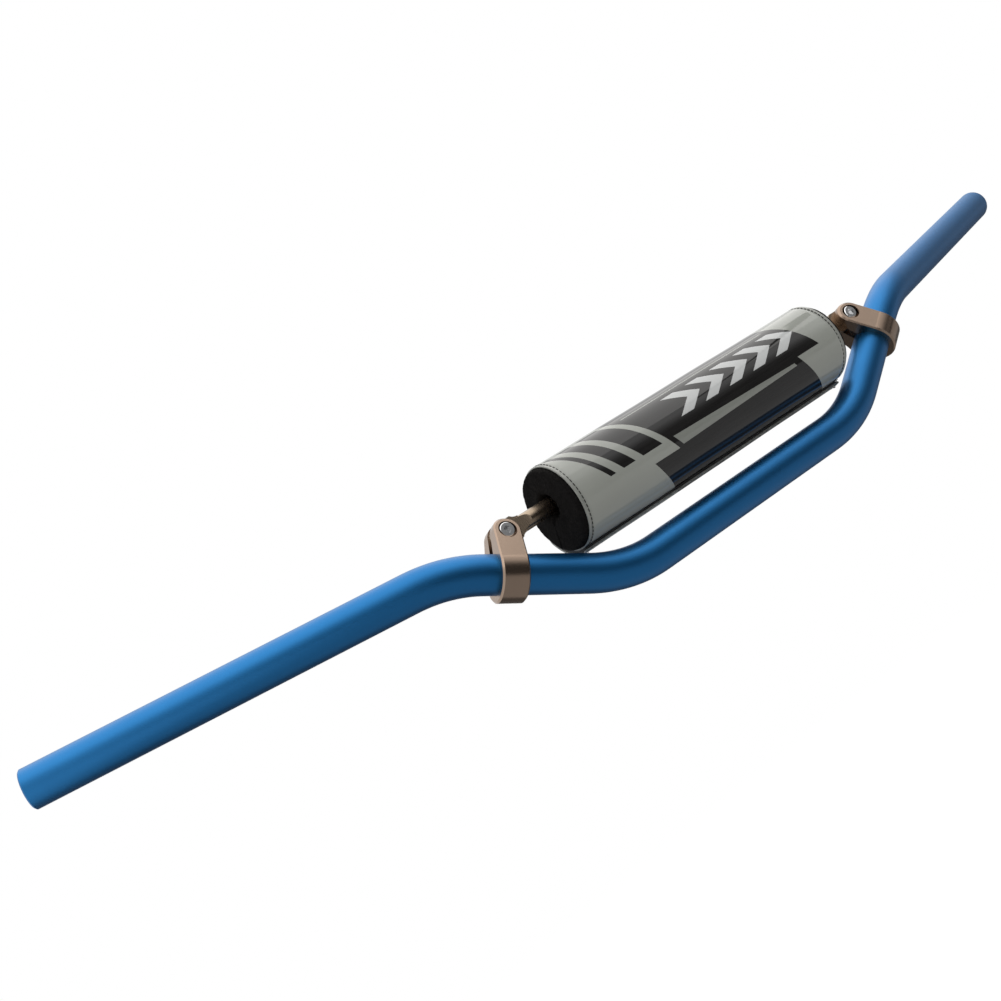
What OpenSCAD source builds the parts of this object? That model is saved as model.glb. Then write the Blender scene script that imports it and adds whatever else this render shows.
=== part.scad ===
// Motocross handlebar: a bent aluminium tube with a clamped crossbar and a wrapped foam pad.
// Millimetres. +X is across the bars, +Y is forward, +Z is up.
// The origin is on the axis of the bar, halfway along the straight that the top clamps hold.

/* [Bar] */
// Outside diameter of the tube
bar_od = 22.2; // [21:0.1:23]
// Wall of the tube
bar_wall = 4.1; // [2:0.1:6]
// Width between the middles of the two open ends
bar_width = 812; // [760:1:840]
// Distance between the corner points of the two lower bends
centre_w = 195.4; // [180:0.1:215]
// How far outwards each riser runs, corner to corner
riser_run = 90.2; // [80:0.1:100]
// How far upwards each riser runs, corner to corner
riser_rise = 53.4; // [45:0.1:65]
// How far each end lies behind the riser
sweep = 75.4; // [50:0.1:90]
// How far each end lies above the upper corner
end_rise = 35.9; // [20:0.1:50]
// Centreline radius of the lower bends
lower_bend_r = 85; // [60:1:95]
// Centreline radius of the upper bends
upper_bend_r = 82; // [60:1:90]
// How much each face of the wall draws in at a bend
bend_thinning = 0.01; // [0.005:0.005:0.1]
// How far each straight runs on over the bend beside it
bend_lap = 0.05; // [0.02:0.01:0.2]
// Chamfer on the edges of the open ends
end_chamfer = 0.8; // [0.3:0.1:1.5]

/* [Crossbar clamps] */
// Distance up the riser from its lower corner to the middle of the clamp
clamp_at = 69.7; // [60:0.1:74]
// Width of the clamp along the riser
clamp_w = 15.4; // [13:0.1:17]
// Wall of the clamp round the bar
clamp_wall = 4.2; // [3:0.1:6]
// Gap between the bar and the bore of the clamp
clamp_fit = 0.05; // [0.02:0.01:0.1]
// Distance from the axis of the bar to the axis of the screw
screw_offset = 22.3; // [21:0.1:24]
// Lean of each ear's outer face towards the slot, degrees
ear_lean = 15; // [10:1:18]
// How far inside the ring's surface that face starts
ear_inset = 0.1; // [0.05:0.05:0.4]
// Chamfer on the edges of the ring
clamp_chamfer = 1; // [0.6:0.1:1.5]
// Chamfer round the leaning faces of the ears
ear_chamfer = 0.8; // [0.4:0.1:1.5]

/* [Clamp screws] */
// Nominal diameter of the screw
screw_d = 5; // [4:0.1:5.5]
// Diameter of the screw's head
head_d = 8.5; // [8:0.1:9.5]
// Height of the screw's head
head_h = 5; // [4:0.1:5.5]
// Width of the hexagon socket across its flats
socket_af = 4; // [3:0.1:5]
// Depth of the hexagon socket
socket_depth = 2.6; // [1.5:0.1:3.5]
// Length of the screw under its head
screw_l = 13; // [11:0.5:14]
// Height of the top of the screw's head in front of the plane of the risers
head_top = 9.5; // [9:0.1:10.5]
// Diameter of the counterbore for the head
counterbore_d = 10.4; // [9.6:0.1:11]
// Chamfer on the edges of the screw
screw_edge = 0.4; // [0.2:0.05:0.6]
// Gap round the screw's shank in its holes
screw_fit = 0.05; // [0.02:0.01:0.2]

/* [Crossbar] */
// Diameter of the crossbar
crossbar_d = 10; // [9:0.1:11]
// Thickness of the flat end between the ears
tang_t = 5; // [4:0.1:5.5]
// Radius of the flat end round the screw
tang_r = 7; // [6.5:0.1:7.5]
// Distance from the screw to where the flat ends
flat_l = 9.2; // [8.5:0.1:12]
// Radius with which the rod flares into the flat end
flare_r = 6; // [3:0.5:9]
// Radius of the cutter that mills the flats
cutter_r = 19; // [10:1:25]
// Gap between the flat end and each ear
tang_fit = 0.05; // [0.02:0.01:0.15]

/* [Pad] */
// Length of the printed cover
cover_l = 220; // [200:1:226]
// Outside diameter of the printed cover
cover_d = 52.6; // [48:0.2:56]
// Thickness of the cover's laminate
cover_t = 1.2; // [0.8:0.1:2]
// How far the foam stands out of the cover at each end
foam_proud = 3; // [1:0.5:5]
// How far the pad's axis lies below the crossbar
pad_drop = 3.7; // [0:0.1:5]
// How far the pad's axis lies in front of the crossbar
pad_forward = 1.5; // [0:0.1:3]
// Gap between one layer of the pad and the next
layer_fit = 0.05; // [0.05:0.01:0.2]
// Gap between the crossbar and the hole through the foam
foam_fit = 0.3; // [0.1:0.05:0.6]
// Width of the torn mouth of that hole
mouth_d = 16; // [13:0.5:20]
// Depth of that mouth
mouth_depth = 9; // [4:0.5:15]
// Width of the slit that lets the foam over the crossbar
slit_w = 0.8; // [0.4:0.1:2]
// Softened edge of the foam's ends
foam_edge = 1.2; // [0.5:0.1:2]
// Width of the hook and loop closure, round the pad
closure_w = 26; // [18:0.5:30]
// Thickness of the hook strip, and of the loop strip
strip_t = 1.1; // [0.8:0.1:1.6]
// How far the loop strip shows past the flap of the cover
strip_show = 1.2; // [0.5:0.1:3]
// Direction of the flap's free edge from the pad's axis: -90 is straight down
flap_edge_at = -95; // [-110:1:-85]
// Turn over which the cover climbs over the strips, degrees
climb_angle = 20; // [12:1:30]

/* [Hidden] */
$fn = 96;
// Reach of a cut past the surface that it opens
past = 1;

// Vector helpers
function unit(p) = p / norm(p);
function turn_between(p, q) = acos(unit(p) * unit(q));

// Corner points of the right half of the bar's centreline, before the bends are rounded
bar_r = bar_od / 2;
lower_corner = [centre_w / 2, 0, 0];
upper_corner = lower_corner + [riser_run, 0, riser_rise];
bar_end = [bar_width / 2, -sweep, upper_corner.z + end_rise];
riser_dir = unit(upper_corner - lower_corner);
end_dir = unit(bar_end - upper_corner);
lower_turn = turn_between([1, 0, 0], riser_dir);
upper_turn = turn_between(riser_dir, end_dir);
// Way that the upper bend turns, about the riser: 0 is away from the centre and upwards
upper_heading = atan2(-end_dir.y, end_dir * [-riser_dir.z, 0, riser_dir.x]);
lower_reach = lower_bend_r * tan(lower_turn / 2);
upper_reach = upper_bend_r * tan(upper_turn / 2);
centre_half = lower_corner.x - lower_reach;
riser_foot = lower_corner + lower_reach * riser_dir;
riser_head = upper_corner - upper_reach * riser_dir;
end_foot = upper_corner + upper_reach * end_dir;

// The clamp's own frame: X up the riser, Y forward, Z away from the bar towards the screw
clamp_centre = lower_corner + clamp_at * riser_dir;
screw_dir = [-riser_dir.z, 0, riser_dir.x];
screw_at = clamp_centre + screw_offset * screw_dir;
clamp_r = bar_r + clamp_wall;
clamp_half_w = clamp_w / 2;
slot_w = tang_t + 2 * tang_fit;
head_seat = head_top - head_h;
// Distance from the axis of the bar to the leaning face of an ear
ear_face = clamp_r - ear_inset;
// Where the screw's axis meets that face, measured along the face
face_reach = (screw_offset - ear_face * sin(ear_lean)) / cos(ear_lean);
ear_top = screw_offset + clamp_half_w;
ear_spread = 1.5 * clamp_half_w;

// The pad
crossbar_r = crossbar_d / 2;
crossbar_z = screw_at.z;
pad_y = pad_forward;
pad_z = crossbar_z - pad_drop;
cover_r = cover_d / 2;
foam_r = cover_r - cover_t - layer_fit;
loop_r = cover_r + layer_fit;
hook_r = loop_r + strip_t + layer_fit;
flap_r = hook_r + strip_t + layer_fit;
foam_l = cover_l + 2 * foam_proud;
strip_angle = closure_w / cover_r * 180 / PI;
show_angle = strip_show / cover_r * 180 / PI;
flap_foot_at = flap_edge_at - strip_angle;
// Turn from one corner to the next of the cover's outline
cover_step = 5;
// The cover is clear of the strips one corner before they begin
climb_from = flap_foot_at + 360 - cover_step - climb_angle;
slit_at = (flap_edge_at + flap_foot_at) / 2;

// Draws its children as they are and mirrored to the left
module both_sides() {
    children();
    mirror([1, 0, 0]) children();
}

module left_side() {
    mirror([1, 0, 0]) children();
}

// Wall of the tube as a ring about the origin, thinner by thin on each face
module tube_section(thin = 0) {
    difference() {
        circle(bar_r - thin);
        circle(bar_r - bar_wall + thin);
    }
}

// Straight tube from the origin along +Z, lapped over what meets it, with its children at its end
module run_on(l) {
    translate([0, 0, -bend_lap])
        linear_extrude(l + 2 * bend_lap)
            tube_section();
    translate([0, 0, l])
        children();
}

// Bent tube that leaves the origin along +Z and turns towards the heading, with its children at its end
module bend_on(radius, turn, heading = 0) {
    rotate([0, 0, heading]) {
        translate([radius, 0, 0])
            rotate([90, 0, 180])
                rotate_extrude(angle = turn)
                    translate([radius, 0])
                        tube_section(bend_thinning);
        translate([radius, 0, 0])
            rotate([0, turn, 0])
                translate([-radius, 0, 0])
                    children();
    }
}

// Straight tube from the origin along +Z to the open end, where both edges are chamfered
module open_end(l) {
    inner = bar_r - bar_wall;
    rotate_extrude()
        polygon([[inner, -bend_lap], [bar_r, -bend_lap],
                 [bar_r, l - end_chamfer], [bar_r - end_chamfer, l],
                 [inner + end_chamfer, l], [inner, l - end_chamfer]]);
}

module main_bar() {
    color([0.03, 0.28, 0.62]) {
        both_sides()
            rotate([180, -90, 0])
                run_on(centre_half)
                    bend_on(lower_bend_r, lower_turn)
                        run_on(norm(riser_head - riser_foot))
                            bend_on(upper_bend_r, upper_turn, upper_heading)
                                open_end(norm(bar_end - end_foot));
    }
}

// Places its children in the clamp's own frame, on the right riser
module on_riser() {
    translate(clamp_centre)
        rotate([0, -lower_turn, 0])
            children();
}

// Ring of the clamp, with chamfered edges
module clamp_ring() {
    c = clamp_chamfer;
    rotate([0, 90, 0])
        rotate_extrude()
            polygon([[0, -clamp_half_w], [clamp_r - c, -clamp_half_w],
                     [clamp_r, c - clamp_half_w], [clamp_r, clamp_half_w - c],
                     [clamp_r - c, clamp_half_w], [0, clamp_half_w]]);
}

// Both ears as one block, seen from the front: a strip with a round end about the screw
module ear_block() {
    rotate([90, 0, 0])
        linear_extrude(3 * clamp_r, center = true) {
            translate([-clamp_half_w, 0])
                square([clamp_w, screw_offset]);
            translate([0, screw_offset])
                circle(clamp_half_w);
        }
}

// Space behind the leaning face of one ear, with a chamfer round the face
module behind_ear_face() {
    c = ear_chamfer;
    shoulder = ear_face - c - (ear_spread - clamp_half_w);
    rotate([ear_lean, 0, 0]) {
        linear_extrude(face_reach)
            polygon([[-ear_spread, -2 * clamp_r], [ear_spread, -2 * clamp_r],
                     [ear_spread, shoulder], [clamp_half_w - c, ear_face],
                     [c - clamp_half_w, ear_face], [-ear_spread, shoulder]]);
        translate([0, 0, face_reach])
            rotate([-90, 0, 0])
                rotate_extrude()
                    polygon([[0, -2 * clamp_r], [ear_spread, -2 * clamp_r],
                             [ear_spread, shoulder], [clamp_half_w - c, ear_face], [0, ear_face]]);
    }
}

// Hole along the screw's axis, from y = from to y = to
module along_screw(d, from, to) {
    translate([0, to, screw_offset])
        rotate([90, 0, 0])
            cylinder(d = d, h = to - from);
}

module crossbar_clamp() {
    color([0.45, 0.36, 0.30])
        on_riser()
            difference() {
                union() {
                    clamp_ring();
                    intersection() {
                        ear_block();
                        behind_ear_face();
                        mirror([0, 1, 0])
                            behind_ear_face();
                    }
                }
                rotate([0, 90, 0])
                    cylinder(r = bar_r + clamp_fit, h = clamp_w + 2 * past, center = true);
                translate([-clamp_half_w - past, -slot_w / 2, 0])
                    cube([clamp_w + 2 * past, slot_w, ear_top + past]);
                along_screw(screw_d + 2 * screw_fit, -2 * clamp_r, 2 * clamp_r);
                along_screw(counterbore_d, head_seat, 2 * clamp_r);
            }
}

// Socket head cap screw
module clamp_screw() {
    edge = screw_edge;
    color([0.62, 0.62, 0.64])
        on_riser()
            translate([0, head_seat, screw_offset])
                rotate([-90, 0, 0])
                    difference() {
                        rotate_extrude()
                            polygon([[0, -screw_l], [screw_d / 2 - edge, -screw_l],
                                     [screw_d / 2, edge - screw_l], [screw_d / 2, 0],
                                     [head_d / 2, 0], [head_d / 2, head_h - edge],
                                     [head_d / 2 - edge, head_h], [0, head_h]]);
                        translate([0, 0, head_h - socket_depth])
                            cylinder(d = socket_af / cos(30), h = socket_depth + past, $fn = 6);
                    }
}

// Right half of the flat end, seen from the front: it flares from the rod to a round end
module tang_outline() {
    neck = screw_at.x - flat_l;
    rise = tang_r - crossbar_r;
    run = sqrt(pow(flare_r, 2) - pow(flare_r - rise, 2));
    translate([screw_at.x, 0])
        circle(tang_r);
    translate([neck, -tang_r])
        square([flat_l, 2 * tang_r]);
    difference() {
        translate([neck - run, -tang_r])
            square([run, 2 * tang_r]);
        for (side = [-1, 1])
            translate([neck - run, side * (crossbar_r + flare_r)])
                circle(flare_r);
    }
}

// One end of the crossbar, from the middle outwards
module crossbar_half() {
    half_t = tang_t / 2;
    flat_from = screw_at.x - flat_l;
    difference() {
        union() {
            rotate([0, 90, 0])
                cylinder(r = crossbar_r, h = screw_at.x);
            rotate([90, 0, 0])
                linear_extrude(tang_t, center = true)
                    tang_outline();
        }
        // The cutter leaves a flat on each face, and a curved ramp up to the round rod
        for (side = [-1, 1]) {
            translate([flat_from, side * (half_t + cutter_r), -crossbar_d])
                cylinder(r = cutter_r, h = 2 * crossbar_d);
            translate([flat_from, side * half_t + (side < 0 ? -crossbar_d : 0), -crossbar_d])
                cube([2 * crossbar_d + flat_l, crossbar_d, 2 * crossbar_d]);
        }
        translate([screw_at.x, 0, 0])
            rotate([90, 0, 0])
                cylinder(d = screw_d + 2 * screw_fit, h = 2 * crossbar_d, center = true);
    }
}

module crossbar() {
    color([0.50, 0.42, 0.34])
        translate([0, 0, crossbar_z])
            both_sides()
                crossbar_half();
}

// Runs its children, drawn in the plane across the pad, along X over the length l
module along_pad(l) {
    translate([-l / 2, pad_y, pad_z])
        rotate([90, 0, 90])
            linear_extrude(l)
                children();
}

module pad_foam() {
    hole_r = crossbar_r + foam_fit;
    e = foam_edge;
    color([0.02, 0.02, 0.02])
        difference() {
            translate([-foam_l / 2, pad_y, pad_z])
                rotate([90, 0, 90])
                    rotate_extrude()
                        polygon([[0, 0], [foam_r - e, 0], [foam_r, e],
                                 [foam_r, foam_l - e], [foam_r - e, foam_l], [0, foam_l]]);
            translate([-foam_l / 2 - past, 0, crossbar_z])
                rotate([0, 90, 0])
                    cylinder(r = hole_r, h = foam_l + 2 * past);
            both_sides()
                translate([foam_l / 2, 0, crossbar_z])
                    rotate([0, -90, 0])
                        cylinder(d1 = mouth_d, d2 = 2 * hole_r, h = mouth_depth);
            translate([-foam_l / 2 - past, 0, crossbar_z])
                rotate([slit_at, 0, 0])
                    translate([0, 0, -slit_w / 2])
                        cube([foam_l + 2 * past, 2 * foam_r, slit_w]);
        }
}

// Distance of the cover's inner face from the pad's axis, at the angle a
function cover_inner(a) =
    let (climbed = ease((a - climb_from) / climb_angle))
    foam_r + layer_fit + climbed * (flap_r - foam_r - layer_fit);
// Rises smoothly from 0 to 1 as t does
function ease(t) = let (s = min(max(t, 0), 1)) s * s * (3 - 2 * s);
function polar(r, a) = [r * cos(a), r * sin(a)];

module pad_cover() {
    from = flap_foot_at;
    to = flap_edge_at + 360;
    step = (to - from) / ceil((to - from) / cover_step);
    color([0.45, 0.48, 0.46])
        along_pad(cover_l)
            polygon([for (a = [from : step : to + step / 2]) polar(cover_inner(a) + cover_t, a),
                     for (a = [to : -step : from - step / 2]) polar(cover_inner(a), a)]);
}

// Strip curved about the pad's axis, with its inner face at the radius r, between two angles
module curved_strip(r, from, to) {
    translate([-cover_l / 2, pad_y, pad_z])
        rotate([90, 0, 90])
            rotate([0, 0, from])
                rotate_extrude(angle = to - from)
                    translate([r, 0])
                        square([strip_t, cover_l]);
}

module loop_strip() {
    color([0.05, 0.05, 0.05])
        curved_strip(loop_r, flap_foot_at, flap_edge_at + show_angle);
}

module hook_strip() {
    color([0.06, 0.06, 0.06])
        curved_strip(hook_r, flap_foot_at, flap_edge_at);
}

main_bar();
crossbar();
left_side() crossbar_clamp();  // left_crossbar_clamp
crossbar_clamp();  // right_crossbar_clamp
left_side() clamp_screw();  // left_clamp_screw
clamp_screw();  // right_clamp_screw
pad_foam();
pad_cover();
loop_strip();
hook_strip();
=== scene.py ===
# %% [markdown]
# A motocross handlebar: a blue anodised tube, bronze clamps that hold a crossbar, and a foam pad
# wrapped in a printed cover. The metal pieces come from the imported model, which is loaded first and
# never moved. What the model keeps plain, such as the foam, the cover and the closure under it, is
# built again here with the surface that the real one has.

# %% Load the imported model
import math

import bmesh
import bpy
from mathutils import Matrix, Vector, noise


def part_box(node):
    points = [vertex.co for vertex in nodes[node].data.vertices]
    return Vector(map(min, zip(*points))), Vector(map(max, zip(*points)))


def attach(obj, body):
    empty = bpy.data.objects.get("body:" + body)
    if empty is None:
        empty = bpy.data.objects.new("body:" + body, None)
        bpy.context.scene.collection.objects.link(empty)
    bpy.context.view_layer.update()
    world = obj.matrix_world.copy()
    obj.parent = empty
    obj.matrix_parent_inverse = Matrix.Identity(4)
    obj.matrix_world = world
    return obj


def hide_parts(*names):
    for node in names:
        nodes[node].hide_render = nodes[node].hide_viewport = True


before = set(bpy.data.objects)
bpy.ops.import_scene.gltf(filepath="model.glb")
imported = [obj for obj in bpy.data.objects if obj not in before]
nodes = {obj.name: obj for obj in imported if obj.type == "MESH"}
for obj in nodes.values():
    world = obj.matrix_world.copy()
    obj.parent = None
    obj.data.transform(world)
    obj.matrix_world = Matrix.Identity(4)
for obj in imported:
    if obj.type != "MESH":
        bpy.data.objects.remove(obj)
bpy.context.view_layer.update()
MM = 0.001

# %% [markdown]
# The photograph is taken from in front of the bar, a little below it and past its right end, with
# the camera rolled so that the bar runs up across the picture. Three values say this best: where
# the camera stands, what it looks at, and how far it is rolled. The lens follows from the fit of
# the bar's outline, on a sensor 36 mm wide.

# %% Camera
CAMERA_AT = Vector((488.3, 633.6, -62.0)) * MM
LOOK_AT = Vector((152.2, 32.8, 65.0)) * MM
CAMERA_ROLL = -37.55
SENSOR_MM = 36
LENS_MM = 48.85

camera_data = bpy.data.cameras.new("camera")
camera_data.sensor_width = SENSOR_MM
camera_data.lens = LENS_MM
camera = bpy.data.objects.new("camera", camera_data)
bpy.context.scene.collection.objects.link(camera)
gaze = (LOOK_AT - CAMERA_AT).to_track_quat("-Z", "Y").to_matrix().to_4x4()
camera.matrix_world = (
    Matrix.Translation(CAMERA_AT) @ gaze @ Matrix.Rotation(math.radians(CAMERA_ROLL), 4, "Z")
)
bpy.context.scene.camera = camera
bpy.context.scene.view_settings.view_transform = "Standard"
picture_right, picture_up, picture_back = (camera.matrix_world.to_3x3().col[i].copy() for i in range(3))
print("up in the picture is", [round(c, 3) for c in picture_up])

# %% [markdown]
# Node trees are easier to read as sums than as links. A Wire holds one socket and a Kit holds one
# tree: arithmetic on wires adds Math nodes, and every other node comes from the one method `add`,
# which takes the node's type, its settings and what goes into its sockets.

# %% Sums on sockets
class Wire:
    def __init__(self, kit, socket):
        self.kit = kit
        self.socket = socket

    def math(self, operation, *others):
        node = self.kit.add("ShaderNodeMath", {"operation": operation})
        for slot, value in enumerate((self, *others)):
            self.kit.feed(node.inputs[slot], value)
        return Wire(self.kit, node.outputs[0])

    def __add__(self, other):
        return self.math("ADD", other)

    def __sub__(self, other):
        return self.math("SUBTRACT", other)

    def __mul__(self, other):
        return self.math("MULTIPLY", other)

    def __truediv__(self, other):
        return self.math("DIVIDE", other)

    def __rsub__(self, other):
        return self * -1 + other

    __radd__ = __add__
    __rmul__ = __mul__

    def over(self, other):
        return self.math("GREATER_THAN", other)

    def under(self, other):
        return self.math("LESS_THAN", other)

    def between(self, low, high):
        return self.over(low) * self.under(high)

    def wave(self):
        return self.math("SINE")

    def size(self):
        return self.math("ABSOLUTE")

    def part(self):
        return self.math("FRACT")

    def most(self, other):
        return self.math("MAXIMUM", other)

    def least(self, other):
        return self.math("MINIMUM", other)


class Kit:
    def __init__(self, tree):
        self.tree = tree

    def feed(self, socket, value):
        if isinstance(value, Wire):
            self.tree.links.new(value.socket, socket)
        elif socket.type == "RGBA":
            socket.default_value = (*value, 1)
        else:
            socket.default_value = value

    def add(self, kind, settings=None, inputs=None):
        node = self.tree.nodes.new(kind)
        settings = dict(settings or {})
        stops = settings.pop("stops", None)
        for name, value in settings.items():
            setattr(node, name, value)
        if stops:
            while len(node.color_ramp.elements) < len(stops):
                node.color_ramp.elements.new(0.5)
            for element, (at, colour) in zip(node.color_ramp.elements, stops):
                element.position = at
                element.color = (*colour, 1)
        for key, value in (inputs or {}).items():
            self.feed(node.inputs[key], value)
        return node

    def out(self, kind, settings=None, inputs=None, output=0):
        return Wire(self, self.add(kind, settings, inputs).outputs[output])

    def blend(self, share, first, second):
        """The first colour where share is 0 and the second where it is 1."""
        mix = self.add("ShaderNodeMix", {"data_type": "RGBA"})
        self.feed(mix.inputs[0], share)
        self.feed(mix.inputs[6], first)
        self.feed(mix.inputs[7], second)
        return Wire(self, mix.outputs[2])

    def place(self):
        return self.out("ShaderNodeTexCoord", output="Object")

    def uv(self):
        """Both numbers of the piece's own UV map, as two wires."""
        split = self.add("ShaderNodeSeparateXYZ", None, {0: self.out("ShaderNodeTexCoord", output="UV")})
        return Wire(self, split.outputs[0]), Wire(self, split.outputs[1])

    def speckle(self, scale, detail=2.0, stretch=None, output="Fac"):
        """Noise on the piece's own place, from 0 to 1."""
        at = self.place()
        if stretch:
            at = self.out("ShaderNodeVectorMath", {"operation": "MULTIPLY"}, {0: at, 1: stretch})
        return self.out("ShaderNodeTexNoise", None, {"Vector": at, "Scale": scale, "Detail": detail}, output)

    def raised(self, height, depth, strength=1.0):
        """A normal bent by a height from 0 to 1, where depth is what a height of 1 stands for."""
        return self.out("ShaderNodeBump", None, {"Strength": strength, "Distance": depth, "Height": height},
                        "Normal")


def finish_named(name, **sockets):
    """A new material and its Kit, with plain values already on the shader's sockets."""
    material = bpy.data.materials.new(name)
    material.use_nodes = True
    kit = Kit(material.node_tree)
    kit.shader = material.node_tree.nodes["Principled BSDF"]
    for key, value in sockets.items():
        kit.feed(kit.shader.inputs[key.replace("_", " ")], value)
    return material, kit


# %% [markdown]
# Anodising leaves aluminium a metal: it still reflects, but through a dyed skin, so the reflection
# takes the dye's colour. A metallic shader with a medium roughness gives the soft bands of light
# that run along the tube. The tube was blasted before it was dyed, which a very fine bump shows,
# and the dye is a touch uneven. Two small scales are etched in the front of the clamped straight,
# where a mechanic lines the bar up, and they are drawn from the tube's own UV map: the first number
# is the distance along the bar, the second the turn round it.

# %% Blue anodised aluminium
BAR_BLUE = (0.011, 0.158, 0.400)
BAR_BLUE_DEEP = (0.008, 0.138, 0.362)
ETCHED = (0.55, 0.62, 0.70)
SCALE_FROM, SCALE_TO = 0.024, 0.052
SCALES_OFF = 0.0058
SCALE_PITCH = 0.002
SCALE_AT, SCALE_REACH = 0.262, 0.014
SCALE_LONG, SCALE_SHORT = 1.0, 0.55
TICK_SHARE = 0.22


def anodised_blue():
    material, kit = finish_named("bar_anodised_blue", Metallic=1.0, Coat_Weight=0.35, Coat_Roughness=0.38)
    along, turn = kit.uv()
    reach = (along + SCALES_OFF).size()
    tick = ((reach / SCALE_PITCH).part() - 0.5).size().under(TICK_SHARE / 2)
    every_fifth = ((reach / (5 * SCALE_PITCH)).part() - 0.5).size().under(0.1)
    length = (every_fifth * (SCALE_LONG - SCALE_SHORT) + SCALE_SHORT) * SCALE_REACH
    across = (turn - SCALE_AT).size()
    scale = tick * reach.between(SCALE_FROM, SCALE_TO) * (length - across).over(0)
    dye = kit.speckle(9, 3)
    colour = kit.blend(dye, BAR_BLUE, BAR_BLUE_DEEP)
    kit.feed(kit.shader.inputs["Base Color"], kit.blend(scale, colour, ETCHED))
    kit.feed(kit.shader.inputs["Roughness"], kit.speckle(60, 4) * 0.08 + 0.40 + scale * 0.10)
    kit.feed(kit.shader.inputs["Normal"], kit.raised(kit.speckle(2400, 1), 0.00002, 0.5))
    return material


# %% [markdown]
# The clamps and the crossbar are the same brown anodising, but they were made in two ways. The
# clamps were milled from bar: their faces carry fine straight tool marks. The crossbar was turned
# and is a little smoother, so it mirrors more. The same function makes both, with a stretched noise
# whose long direction is the way that the tool ran.

# %% Brown anodised aluminium
CLAMP_BROWN = (0.335, 0.248, 0.190)
CROSSBAR_BROWN = (0.36, 0.28, 0.205)


def anodised_brown(name, colour, roughness, tool_way):
    material, kit = finish_named(name, Metallic=1.0, Coat_Weight=0.08, Coat_Roughness=0.25)
    tool = kit.speckle(1, 3, stretch=tool_way)
    patch = kit.speckle(40, 3)
    darker = tuple(c * 0.86 for c in colour)
    kit.feed(kit.shader.inputs["Base Color"], kit.blend(patch, colour, darker))
    kit.feed(kit.shader.inputs["Roughness"], tool * 0.08 + patch * 0.05 + roughness)
    kit.feed(kit.shader.inputs["Normal"], kit.raised(tool, 0.000006, 0.3))
    return material


def screw_plating():
    """Bright plating on a cold forged screw: near mirror, with faint wear."""
    material, kit = finish_named("screw_plating", Metallic=1.0)
    kit.feed(kit.shader.inputs["Base Color"], kit.blend(kit.speckle(300, 3), (0.82, 0.82, 0.82), (0.66, 0.66, 0.67)))
    kit.feed(kit.shader.inputs["Roughness"], kit.speckle(500, 3) * 0.10 + 0.05)
    kit.feed(kit.shader.inputs["Normal"], kit.raised(kit.speckle(1500, 2), 0.00001, 0.3))
    return material


# %% [markdown]
# The foam is cut from a black closed-cell block with a hot blade. Up close it is a field of burst
# cells, so a Voronoi pattern stands for the cells and a coarser noise for the way the cut wandered.
# It has next to no gloss, and the rims of broken cells get a painted highlight: a lighter colour.

# %% Black foam
FOAM_BLACK = (0.0050, 0.0047, 0.0045)
# Painted highlight: the lighter colour painted on the rims of broken cells.
FOAM_RIM_PAINTED_HIGHLIGHT = (0.020, 0.0185, 0.018)
CELL_SCALE = 1500


def cut_foam():
    material, kit = finish_named("cut_foam", Roughness=0.92, Specular_IOR_Level=0.06)
    cells = kit.out("ShaderNodeTexVoronoi", {"feature": "F1"}, {"Vector": kit.place(), "Scale": CELL_SCALE}, "Distance")
    cut = kit.speckle(420, 5)
    # Painted highlight on the cell rims, where the cell pattern and the cut noise are high.
    kit.feed(kit.shader.inputs["Base Color"], kit.blend(cells * cut * 1.5, FOAM_BLACK, FOAM_RIM_PAINTED_HIGHLIGHT))
    kit.feed(kit.shader.inputs["Normal"], kit.raised(cells * 0.6 + cut, 0.0006, 0.9))
    return material


# %% [markdown]
# The cover is a printed sheet under a clear gloss film. Its ground is a sage grey. On it lie a black
# panel with slanted ends, a grey rule that tapers under the panel, and a black band below that. Where
# such covers carry their lettering, a row of pale chevrons stands in the panel, and three slanted
# stripes of falling width lead up to it. All of it is worked out from the sheet's UV map, in which
# the first number is the distance along the pad and the second the turn round it, with 0 facing
# forward and a quarter on top. The film is the shader's coat: it stays glossy while the print under
# it is matt and has no gloss of its own.

# %% Print of the cover
PAD_LENGTH = 0.220
GROUND_SAGE = (0.455, 0.475, 0.435)
GROUND_WORN = (0.400, 0.415, 0.380)
PANEL_BLACK = (0.0085, 0.0078, 0.0075)
RULE_GREY = (0.33, 0.345, 0.315)
CHEVRON_WHITE = (0.70, 0.72, 0.72)
LEAN = 0.10
PANEL = (-0.088, 0.044, -0.034, 0.236)
BAND = (-0.068, 0.064, -0.300, -0.080)
RULE = (-0.062, 0.040, -0.054)
STRIPES = ((0.049, 0.064), (0.070, 0.079), (0.085, 0.089))
STRIPE_LOW, STRIPE_HIGH = -0.034, 0.178
CHEVRON_PITCH, CHEVRON_WIDE = 0.0205, 0.0105
CHEVRON_ROW = (-0.0820, 0.0205, 0.060, 0.052)
CHEVRON_POINT = 0.26
KEYLINE_AT, KEYLINE_HALF = 0.138, 0.003


def leaning(along, turn, left, right, low, high):
    """1 inside a field from left to right and from low to high, whose ends lean."""
    return (along - turn * LEAN).between(left, right) * turn.between(low, high)


def chevron_row(along, turn):
    left, right, middle, half_turn = CHEVRON_ROW
    from_middle = (turn - middle).size()
    pointed = along - from_middle * CHEVRON_POINT
    cell = (pointed / CHEVRON_PITCH).part()
    return cell.under(CHEVRON_WIDE / CHEVRON_PITCH) * pointed.between(left, right) * from_middle.under(half_turn)


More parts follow.
